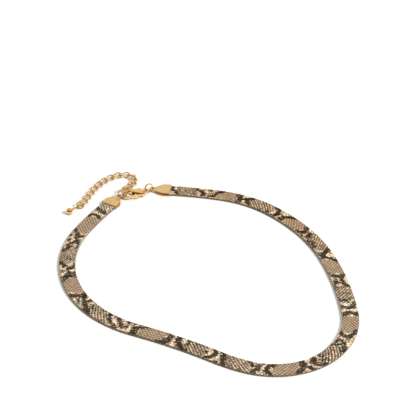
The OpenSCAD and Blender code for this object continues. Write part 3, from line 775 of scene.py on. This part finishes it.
def cap_tab():
    """The flat eye at the end of the neck: round in front and as wide as the neck behind."""
    low, high = TAB_Z
    back = CAP_EYE_AT - SLEEVE_END + SLEEVE_LAP
    aside, down = TAB_BEND
    loops = []
    for a in np.linspace(0, 2 * math.pi, TAB_STEPS, endpoint=False):
        edge = TAB_RADIUS
        if math.cos(a) < 0:
            edge = min(TAB_RADIUS / max(abs(math.sin(a)), 0.01), back / abs(math.cos(a)))
        r = min(TAB_EDGE, 0.4 * (edge - TAB_HOLE))
        rows = [
            (TAB_HOLE + r, high),
            (TAB_HOLE + aside * r, high - down * r),
            (TAB_HOLE, high - r),
            (TAB_HOLE, low + r),
            (TAB_HOLE + aside * r, low + down * r),
            (TAB_HOLE + r, low),
            (edge - r, low),
            (edge - aside * r, low + down * r),
            (edge, low + r),
            (edge, high - r),
            (edge - aside * r, high - down * r),
            (edge - r, high),
        ]
        loops.append([(CAP_EYE_AT + out * math.cos(a), out * math.sin(a), z) for out, z in rows])
    return skin(np.array(loops)[:, ::-1], closed_along=True)


def make_caps():
    """Both caps, brushed along their own axes, with painted shade on the floor of the folded
    sheet's seam.
    """
    seam_shade = material_seam_shade()
    outside = range(POCKET_SECTIONS, POCKET_SECTIONS + len(MOUTH_EDGE) + SLEEVE_SECTIONS - 1)
    for name, (x, y, heading) in CAPS.items():
        points, faces = joined([cap_shell(), cap_tab()])
        obj = mesh_object(name + "_shell", placed(points, (x, y, 0), heading), faces)
        gold = material_gold(name + "_brushed_gold", *BRUSHED, brushed=heading)
        finish_piece(obj, "necklace", "brushed_gold", gold, name)
        obj.data.materials.append(seam_shade)
        # The seam's floor takes the painted shade as its second material
        for section in outside:
            for column in SEAM_FLOOR:
                obj.data.polygons[section * SECTION_POINTS + column].material_index = 1


def make_jump_rings(material):
    """The two leaning rings that join the caps to the clasp."""
    for name, (place, turn) in JUMP_RINGS.items():
        points, faces = torus((RING_D - RING_WIRE) / 2, RING_WIRE / 2, split=RING_CUT)
        points = placed(placed(points, (0, 0, 0), roll=90 - RING_LEAN), place, turn)
        obj = mesh_object(name + "_wire", points, faces)
        finish_piece(obj, "necklace", "polished_gold", material, name)


def link_centre(turns):
    """The twisted oval of a curb link."""
    half_length, half_width = LINK_HALF
    f = np.radians(LINK_TWIST * np.cos(turns))
    y = half_width * np.sin(turns)
    return np.stack([half_length * np.cos(turns), y * np.cos(f), y * np.sin(f)], -1)


def link_wire(steps=56, sides=14):
    """A curb link's wire, lying along X."""
    turns = -np.linspace(0, 2 * math.pi, steps, endpoint=False)
    small = math.radians(1)
    middle = link_centre(turns)
    ahead = link_centre(turns + small) - link_centre(turns - small)
    ahead /= np.linalg.norm(ahead, axis=1)[:, None]
    f = np.radians(LINK_TWIST * np.cos(turns))
    out = np.cross(ahead, np.stack([np.zeros_like(f), -np.sin(f), np.cos(f)], -1))
    out /= np.linalg.norm(out, axis=1)[:, None]
    up = np.cross(out, ahead)
    a = np.linspace(0, 2 * math.pi, sides, endpoint=False)
    ring = np.cos(a)[None, :, None] * out[:, None] + np.sin(a)[None, :, None] * up[:, None]
    return skin(middle[:, None] + LINK_WIRE / 2 * ring, closed_along=True)


def make_links(material):
    """The extender's links, each from one joint of the chain to the next."""
    joint = np.array(FIRST_JOINT)
    for k, (heading, slope, slack) in enumerate(LINKS, 1):
        a, b = math.radians(heading), math.radians(slope)
        way = np.array([math.cos(a) * math.cos(b), math.sin(a) * math.cos(b), math.sin(b)])
        following = joint + (LINK_PITCH - slack) * way
        points, faces = link_wire()
        points = placed(points, (joint + following) / 2, heading, -slope)
        obj = mesh_object(f"curb_link_{k:02d}", points, faces)
        finish_piece(obj, "necklace", "polished_gold", material, f"extender_link_{k:02d}")
        joint = following


def make_end_ring(material):
    """The round ring at the extender's free end."""
    points, faces = torus((END_RING_D - END_RING_WIRE) / 2, END_RING_WIRE / 2)
    points = placed(points, END_RING, END_RING_TURN, 0, -END_RING_ROLL)
    obj = mesh_object("end_ring_wire", points, faces)
    finish_piece(obj, "necklace", "polished_gold", material, "end_ring")


def make_drop(material):
    """The drop: its loop, its tapering neck and its ball."""
    loop_points, loop_faces = torus((DROP_LOOP_D - DROP_WIRE) / 2, DROP_WIRE / 2, 48, 14)
    loop = placed(loop_points, (0, 0, 0), roll=90), loop_faces
    first = math.asin(NECK_END / BALL_RADIUS)
    ball = [
        (DROP_LENGTH - BALL_RADIUS * math.cos(a), BALL_RADIUS * math.sin(a))
        for a in np.linspace(first, math.pi - 0.01, BALL_STEPS)
    ]
    points, faces = joined([loop, lathe(DROP_NECK + ball)])
    points = placed(points, DROP_PLACE, DROP_HEADING, -DROP_LIFT)
    obj = mesh_object("ball_drop", points, faces)
    finish_piece(obj, "necklace", "polished_gold", material, "drop")


def softened_copy(node, name, voxel, passes):
    """The CAD node's shape with its edges rounded as on a polished casting."""
    obj = bpy.data.objects.new(name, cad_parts[node].data.copy())
    bpy.context.scene.collection.objects.link(obj)
    obj.data.materials.clear()
    remesh = obj.modifiers.new("remesh", "REMESH")
    remesh.mode = "VOXEL"
    remesh.voxel_size = voxel * MM
    smooth = obj.modifiers.new("smooth", "SMOOTH")
    smooth.factor = SMOOTHING
    smooth.iterations = passes
    shown = bpy.context.evaluated_depsgraph_get()
    mesh = bpy.data.meshes.new_from_object(obj.evaluated_get(shown))
    obj.modifiers.clear()
    obj.data = mesh
    mesh.shade_smooth()
    return obj


def domed(obj):
    """Thins a clasp piece towards the clasp's edges, so that its faces are rounded."""
    points = np.empty(3 * len(obj.data.vertices))
    obj.data.vertices.foreach_get("co", points)
    points = points.reshape(-1, 3) / MM
    dx, dy = points[:, 0] - CLASP_EYE[0], points[:, 1] - CLASP_EYE[1]
    turn = math.radians(CLASP_TURN)
    along = dx * math.cos(turn) + dy * math.sin(turn)
    across = dy * math.cos(turn) - dx * math.sin(turn)
    middle = np.interp(along, *CLASP_MIDDLE)
    thin = 1 - CLASP_DOME * np.clip(across / CLASP_HALF, -1, 1) ** 2
    points[:, 2] = np.maximum(middle + (points[:, 2] - middle) * thin, 0)
    obj.data.vertices.foreach_set("co", (points * MM).ravel())
    obj.data.update()
    return obj


def make_clasp(material):
    """The clasp's body and its lever, which rides on its own body."""
    body = domed(softened_copy("clasp_body", "clasp_casting", *BODY_CASTING))
    finish_piece(body, "necklace", "polished_gold", material, "clasp_body")
    lever = domed(softened_copy("clasp_lever", "clasp_lever_casting", *LEVER_CASTING))
    finish_piece(lever, "lever", "polished_gold", material, "clasp_lever")


def finish_piece(obj, body, slot, material, *nodes):
    """Gives a piece its material and body, and hides the CAD nodes that it replaces."""
    obj.data.materials.clear()
    obj.data.materials.append(material)
    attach(obj, body)
    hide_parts(*nodes)


# Materials

# Gold. Columns: light tone, deep tone, limits of the roughness
POLISHED = (srgb(252, 219, 151), srgb(232, 186, 108), (0.08, 0.18))
# The drop's gold is the polished gold made deeper in tone, as painted shade
POLISHED_DROP_SHADED = (srgb(238, 200, 134), srgb(212, 166, 94), (0.04, 0.1))
BRUSHED = (srgb(250, 215, 157), srgb(222, 180, 118), (0.3, 0.45))
# Painted shade: the plate's colour turns to this deep brown in nooks of this size in metres, such
# as where links cross.
# What the openness there runs from and to: below 0 it is all nook
NOOK_SHADE = srgb(196, 134, 48)
NOOK_SIZE = 0.0012
NOOK_REACH = (-0.8, 1.0)
# Where the noise starts and ends to change a tone
TONE_SPAN = (0.3, 0.7)
# Noises: a scale per metre, and in some the detail
GOLD_TONE = 260.0
GOLD_GRAIN = 1400.0
GOLD_ROUGHNESS = (900.0, 3.0)
BRUSH_TONE = (120.0, 5.0)
PRINT_GRAIN = (3500.0, 3.0)
PRINT_ROUGHNESS = 1200.0
SEAM_SHADE_TONE = 600.0
FLOOR_TONE = 20.0
# How much longer than wide the brushed lines are
BRUSH_STRETCH = 14
# Bumps: strength, and height in metres
GOLD_BUMP = (0.25, 0.00001)
BRUSH_BUMP = (0.8, 0.00005)
PRINT_BUMP = (0.3, 0.00002)
# Pairs of tones
# Painted shade in a cap's seam
SEAM_SHADE = (srgb(70, 30, 2), srgb(122, 60, 8))
PRINT_SHADE = ((0.82, 0.8, 0.78, 1), (1.12, 1.1, 1.08, 1))
FLOOR = ((0.93, 0.93, 0.93, 1), (0.95, 0.95, 0.95, 1))


class Nodes:
    """Short calls for a material's nodes."""

    def __init__(self, name):
        self.material = bpy.data.materials.new(name)
        self.material.use_nodes = True
        self.tree = self.material.node_tree
        self.shader = self.tree.nodes["Principled BSDF"]
        self.place = self.add("ShaderNodeTexCoord").outputs["Object"]

    def add(self, kind, **values):
        """A node with values for its inputs or its own settings."""
        node = self.tree.nodes.new(kind)
        for key, value in values.items():
            if key in node.inputs:
                node.inputs[key].default_value = value
            else:
                setattr(node, key, value)
        return node

    def link(self, out, into):
        """A link from an output to an input, which may be one of the shader's by name."""
        self.tree.links.new(out, self.shader.inputs[into] if isinstance(into, str) else into)

    def set(self, **values):
        """Values for the shader's own sockets, with _ for a space."""
        for key, value in values.items():
            self.shader.inputs[key.replace("_", " ")].default_value = value

    def noise(self, scale, detail=2.0, vector=None):
        """Noise over the object, or over another vector."""
        node = self.add("ShaderNodeTexNoise", Scale=scale, Detail=detail)
        self.link(self.place if vector is None else vector, node.inputs["Vector"])
        return node.outputs["Fac"]

    def mapped(self, value, low, high):
        """A value from 0 to 1 mapped to other limits."""
        node = self.add("ShaderNodeMapRange")
        node.inputs["To Min"].default_value = low
        node.inputs["To Max"].default_value = high
        self.link(value, node.inputs["Value"])
        return node.outputs["Result"]

    def ramp(self, value, first, last, span=(0.0, 1.0)):
        """A colour between two, while a value crosses the span."""
        node = self.add("ShaderNodeValToRGB")
        for stop, colour, position in zip(node.color_ramp.elements, (first, last), span):
            stop.color = colour
            stop.position = position
        self.link(value, node.inputs["Fac"])
        return node.outputs["Color"]

    def mixed(self, a, b, factor, **settings):
        """Colour b over colour a. Each may be a colour, a number or an output."""
        node = self.add("ShaderNodeMix", data_type="RGBA", **settings)
        for value, key in ((factor, "Factor"), (a, 6), (b, 7)):
            socket = node.inputs[key]
            if isinstance(value, bpy.types.NodeSocket):
                self.link(value, socket)
            else:
                socket.default_value = value
        return node.outputs[2]

    def bump(self, height, strength, distance):
        """A bump on the shader's normal."""
        node = self.add("ShaderNodeBump", Strength=strength, Distance=distance)
        self.link(height, node.inputs["Height"])
        self.link(node.outputs["Normal"], "Normal")


def material_gold(name, light, deep, roughness, brushed=None):
    """Gold plate: a slow change of tone, a fine unevenness, a brushed cap's fine lines, and
    painted shade in nooks.
    """
    n = Nodes(name)
    n.set(Metallic=1.0)
    if brushed is None:
        tone = n.noise(GOLD_TONE)
        n.bump(n.noise(GOLD_GRAIN), *GOLD_BUMP)
    else:
        turned = n.add("ShaderNodeMapping", vector_type="TEXTURE")
        turned.inputs["Rotation"].default_value = (0, 0, math.radians(brushed))
        turned.inputs["Scale"].default_value = (1.0, 1 / BRUSH_STRETCH, 1 / BRUSH_STRETCH)
        n.link(n.place, turned.inputs["Vector"])
        tone = n.noise(*BRUSH_TONE, turned.outputs["Vector"])
        n.bump(tone, *BRUSH_BUMP)
    # Painted shade: the colour turns deep brown where the surface is closed in
    open_space = n.add("ShaderNodeAmbientOcclusion", Distance=NOOK_SIZE, samples=8)
    openness = n.mapped(open_space.outputs["AO"], *NOOK_REACH)
    n.link(n.mixed(NOOK_SHADE, n.ramp(tone, deep, light, TONE_SPAN), openness), "Base Color")
    n.link(n.mapped(n.noise(*GOLD_ROUGHNESS), *roughness), "Roughness")
    return n.material


def material_seam_shade():
    """Painted shade on the floor of a cap's seam, standing for the shaded gap where the folded
    sheet's edges meet and the band's dark edge inside it.
    """
    n = Nodes("seam_shadow")
    n.link(n.ramp(n.noise(SEAM_SHADE_TONE), *SEAM_SHADE), "Base Color")
    n.set(Roughness=0.9, Specular_IOR_Level=0.05)
    return n.material


def material_print():
    """The printed chain: the print's colours, with shade painted into the grooves, and a fine
    grain.
    """
    n = Nodes("python_print_on_chain")
    layer = n.add("ShaderNodeVertexColor", layer_name="print")
    grain = n.noise(*PRINT_GRAIN)
    shade = n.ramp(grain, *PRINT_SHADE, TONE_SPAN)
    colour = n.mixed(layer.outputs["Color"], shade, 1.0, blend_type="MULTIPLY")
    n.link(colour, "Base Color")
    n.set(Metallic=0.1, Specular_IOR_Level=0.1)
    n.link(n.mapped(n.noise(PRINT_ROUGHNESS), 0.38, 0.62), "Roughness")
    n.bump(grain, *PRINT_BUMP)
    return n.material


def material_floor():
    """A pale matt floor with a hardly visible change of tone."""
    n = Nodes("pale_floor")
    n.link(n.ramp(n.noise(FLOOR_TONE), *FLOOR), "Base Color")
    n.set(Roughness=0.9, Specular_IOR_Level=0.1)
    return n.material


# The stage

CAMERA_PLACE = (1.549, -560.524, 388.0)
CAMERA_PITCH = 32.5
FOCAL_PIXELS = 1500.0
FRAME_PIXELS = 416
# How far the picture is shifted, in pixels
FRAME_SHIFT = (-0.5, 0.5)
SENSOR = 36.0
FLOOR_HALF = 6000.0
FLOOR_HEIGHT = -0.03
LIGHT_WAY = (0.80, -0.42, 0.81)
LIGHT_DISTANCE = 2500.0
LIGHT_SIZE = 460.0
LIGHT_POWER = 56.0
# How much of the key light shows as glints on the gold
GLINT_SHARE = 0.1
# The room is brightest this way. Columns: place from the other way to this one, brightness
BRIGHT_WAY = (0.0, 0.6, 0.8)
ROOM = [(0.0, 0.05), (1.0, 1.0), (0.25, 0.06), (0.5, 0.28), (0.65, 0.55), (0.8, 0.85)]
ROOM_STRENGTH = 0.9
# The dimmer a part of the room, the warmer: the powers of its brightness in red, green and blue
ROOM_WARMTH = (1.0, 1.12, 1.35)
# What the camera sees past the floor
BACKDROP = (1.0, 1.0, 0.99, 1.0)


def make_camera():
    """The camera at the photograph's viewing angle."""
    data = bpy.data.cameras.new("camera")
    data.sensor_width = SENSOR
    data.lens = FOCAL_PIXELS / FRAME_PIXELS * SENSOR
    data.shift_x, data.shift_y = (pixels / FRAME_PIXELS for pixels in FRAME_SHIFT)
    camera = bpy.data.objects.new("camera", data)
    camera.location = [v * MM for v in CAMERA_PLACE]
    camera.rotation_euler = (math.radians(90 - CAMERA_PITCH), 0, 0)
    bpy.context.scene.collection.objects.link(camera)
    bpy.context.scene.camera = camera


def make_floor():
    """A wide pale floor just under the necklace."""
    corners = [
        (x * FLOOR_HALF, y * FLOOR_HALF, FLOOR_HEIGHT)
        for x, y in ((-1, -1), (1, -1), (1, 1), (-1, 1))
    ]
    floor = mesh_object("floor", corners, [(0, 1, 2, 3)])
    floor.data.materials.append(material_floor())


def make_key_light(name, power, glossy):
    """The key light, or the part of it that polished metal doesn't reflect."""
    data = bpy.data.lights.new(name, "AREA")
    data.size = LIGHT_SIZE * MM
    data.energy = power
    light = bpy.data.objects.new(name, data)
    light.location = Vector(LIGHT_WAY).normalized() * LIGHT_DISTANCE * MM
    light.rotation_euler = light.location.to_track_quat("Z", "Y").to_euler()
    light.visible_glossy = glossy
    bpy.context.scene.collection.objects.link(light)


def make_world():
    """A studio, bright behind and above the object and dim in front, with a pale backdrop."""
    world = bpy.data.worlds.new("studio")
    world.use_nodes = True
    tree = world.node_tree
    background = tree.nodes["Background"]
    place = tree.nodes.new("ShaderNodeTexCoord")
    along = tree.nodes.new("ShaderNodeVectorMath")
    along.operation = "DOT_PRODUCT"
    along.inputs[1].default_value = BRIGHT_WAY
    ramp = tree.nodes.new("ShaderNodeValToRGB")
    spread = tree.nodes.new("ShaderNodeMapRange")
    spread.inputs["From Min"].default_value = -1.0
    tree.links.new(place.outputs["Generated"], along.inputs[0])
    tree.links.new(along.outputs["Value"], spread.inputs["Value"])
    tree.links.new(spread.outputs["Result"], ramp.inputs["Fac"])
    rays = tree.nodes.new("ShaderNodeLightPath")
    seen = tree.nodes.new("ShaderNodeMix")
    seen.data_type = "RGBA"
    seen.inputs[7].default_value = BACKDROP
    tree.links.new(rays.outputs["Is Camera Ray"], seen.inputs["Factor"])
    tree.links.new(ramp.outputs["Color"], seen.inputs[6])
    tree.links.new(seen.outputs[2], background.inputs["Color"])
    for k, (position, grey) in enumerate(ROOM):
        stop = ramp.color_ramp.elements[k] if k < 2 else ramp.color_ramp.elements.new(position)
        stop.position = position
        stop.color = (*(grey**power for power in ROOM_WARMTH), 1)
    background.inputs["Strength"].default_value = ROOM_STRENGTH
    bpy.context.scene.world = world


def make_stage():
    """Camera, floor, room and key light."""
    make_camera()
    make_floor()
    make_world()
    make_key_light("key", GLINT_SHARE * LIGHT_POWER, True)
    make_key_light("key_without_glints", (1 - GLINT_SHARE) * LIGHT_POWER, False)
    bpy.context.scene.view_settings.view_transform = "Standard"
    bpy.context.scene.view_settings.look = "None"


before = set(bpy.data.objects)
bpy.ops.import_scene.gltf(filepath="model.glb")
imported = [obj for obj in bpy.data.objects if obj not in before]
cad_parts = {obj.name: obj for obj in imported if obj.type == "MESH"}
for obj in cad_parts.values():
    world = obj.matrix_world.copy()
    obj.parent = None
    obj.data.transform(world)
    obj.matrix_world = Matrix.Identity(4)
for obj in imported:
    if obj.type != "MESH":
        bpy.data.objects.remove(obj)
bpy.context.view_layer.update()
make_stage()
polished = material_gold("polished_gold_plate", *POLISHED)
make_band()
make_caps()
make_jump_rings(polished)
make_clasp(polished)
make_links(polished)
make_end_ring(polished)
# The drop gets the deeper gold, with its painted shade
make_drop(material_gold("polished_gold_drop_shaded_plate", *POLISHED_DROP_SHADED))
